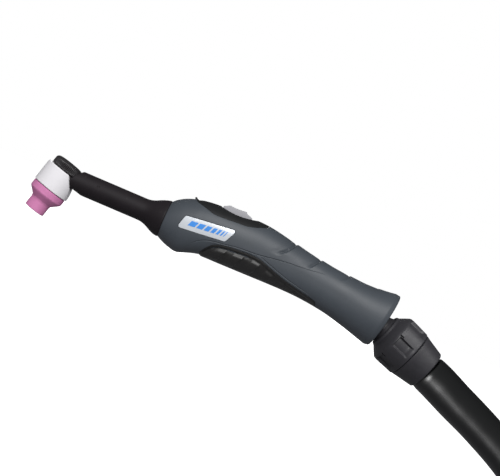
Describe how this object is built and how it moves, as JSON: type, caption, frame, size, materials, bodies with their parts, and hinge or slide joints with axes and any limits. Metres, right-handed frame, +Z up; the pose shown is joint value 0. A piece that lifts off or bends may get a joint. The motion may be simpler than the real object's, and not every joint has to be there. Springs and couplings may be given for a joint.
{
  "type": "tig torch",
  "caption": "TIG welding torch: pink ceramic cup, white insulator, straight neck, grip handle with trigger, ball-swivel cable exit.",
  "frame": {"origin": "centre of the ground tip of the tungsten electrode, the tool centre point", "axes": "+X along the neck towards the handle and cable, +Z up on the switch side, +Y to the right half shell"},
  "size_m": [0.4459, 0.0392, 0.1249],
  "materials": {
    "pink_alumina": "satin, fired and slightly rough",
    "white_ptfe": "satin fluoropolymer",
    "black_rubber": "matte moulded silicone rubber",
    "black_phenolic": "matte, finely ribbed",
    "slate_soft_touch": "soft-touch, fine grain",
    "dark_grip": "satin thermoplastic rubber",
    "badge_plate": null,
    "black_panel": "satin black",
    "grey_button": "satin grey, ribbed top",
    "charcoal_nylon": "matte glass-filled nylon",
    "sheath_rubber": "semi-gloss",
    "brass": "turned",
    "copper": "bare",
    "steel": "plated",
    "tungsten": "ground",
    "wire_red": "insulated",
    "wire_black": "cable jacket",
    "acetal": "moulded"
  },
  "bodies": {
    "handle": {"collet": "copper", "gas_lens_body": "brass", "gas_lens_screen": "steel", "heat_shield": "white_ptfe", "head_core": "brass", "neck_tube": "copper", "head_neck_overmould": "black_rubber", "handle_left": "slate_soft_touch", "handle_right": "slate_soft_touch", "grip_inlay_left": "dark_grip", "grip_inlay_right": "dark_grip", "badge_left": "badge_plate", "badge_right": "badge_plate", "switch_panel": "black_panel", "trigger_pivot_pin": "steel", "trigger_spring": "steel", "microswitch_body": "wire_black", "switch_wire_a": "wire_red", "switch_wire_b": "wire_black", "handle_screw_front": "steel", "handle_screw_middle": "steel", "handle_screw_rear": "steel", "power_cable_connector": "brass", "power_cable_lead": "wire_black", "control_cable_lead": "wire_black"},
    "trigger": {"trigger_button": "grey_button"},
    "plunger": {"microswitch_plunger": "acetal"},
    "cap_seal": {"back_cap_oring": "black_rubber"},
    "cap": {"back_cap": "black_phenolic"},
    "electrode": {"tungsten_electrode": "tungsten"},
    "nozzle": {"ceramic_nozzle": "pink_alumina"},
    "swivel_seat": {"swivel_seat_ring": "acetal"},
    "swivel": {"swivel_ball": "charcoal_nylon"},
    "cable": {"swivel_nut": "charcoal_nylon", "rear_collar": "charcoal_nylon", "sheath_clamp": "steel", "cable_sheath": "sheath_rubber", "power_cable_jacket": "wire_black", "power_cable_conductor": "copper", "control_cable": "wire_black"}
  },
  "joints": [
    {"name": "trigger_rock", "type": "hinge", "parent": "handle", "child": "trigger", "pos_m": [0.15208, 0, 0.05015], "axis": [0, -1, 0], "range_deg": [0, 3], "deforming": ["trigger_spring"]},
    {"name": "plunger_press", "type": "slide", "parent": "handle", "child": "plunger", "axis": [0, 0, -1], "range_m": [0, 0.00115]},
    {"name": "cap_travel", "type": "slide", "parent": "handle", "child": "cap_seal", "axis": [0.2639, 0, 0.9646], "range_m": [0, 0.00254]},
    {"name": "cap_turn", "type": "hinge", "parent": "cap_seal", "child": "cap", "pos_m": [0, 0, 0], "axis": [0.2639, 0, 0.9646], "range_deg": [0, 720]},
    {"name": "nozzle_turn", "type": "hinge", "parent": "handle", "child": "nozzle", "pos_m": [0, 0, 0], "axis": [-0.2639, 0, -0.9646], "range_deg": [0, 720]},
    {"name": "electrode_slide", "type": "slide", "parent": "handle", "child": "electrode", "axis": [-0.2639, 0, -0.9646], "range_m": [0, 0.008]},
    {"name": "swivel_spin", "type": "hinge", "parent": "handle", "child": "swivel_seat", "pos_m": [0.24058, 0, 0.03205], "axis": [0.9836, 0, -0.1805], "continuous": true},
    {"name": "swivel_tilt", "type": "hinge", "parent": "swivel_seat", "child": "swivel", "pos_m": [0.24058, 0, 0.03205], "axis": [0, 1, 0], "range_deg": [-22, 2]},
    {"name": "cable_twist", "type": "hinge", "parent": "swivel", "child": "cable", "pos_m": [0.24058, 0, 0.03205], "axis": [0.9373, 0, -0.3486], "range_deg": [-90, 90]}
  ],
  "couplings": [
    {"joint": "plunger_press", "follows": "trigger_rock", "m_per_rad": 0.0215},
    {"joint": "cap_turn", "follows": "cap_travel", "rad_per_m": 4947.4}
  ]
}
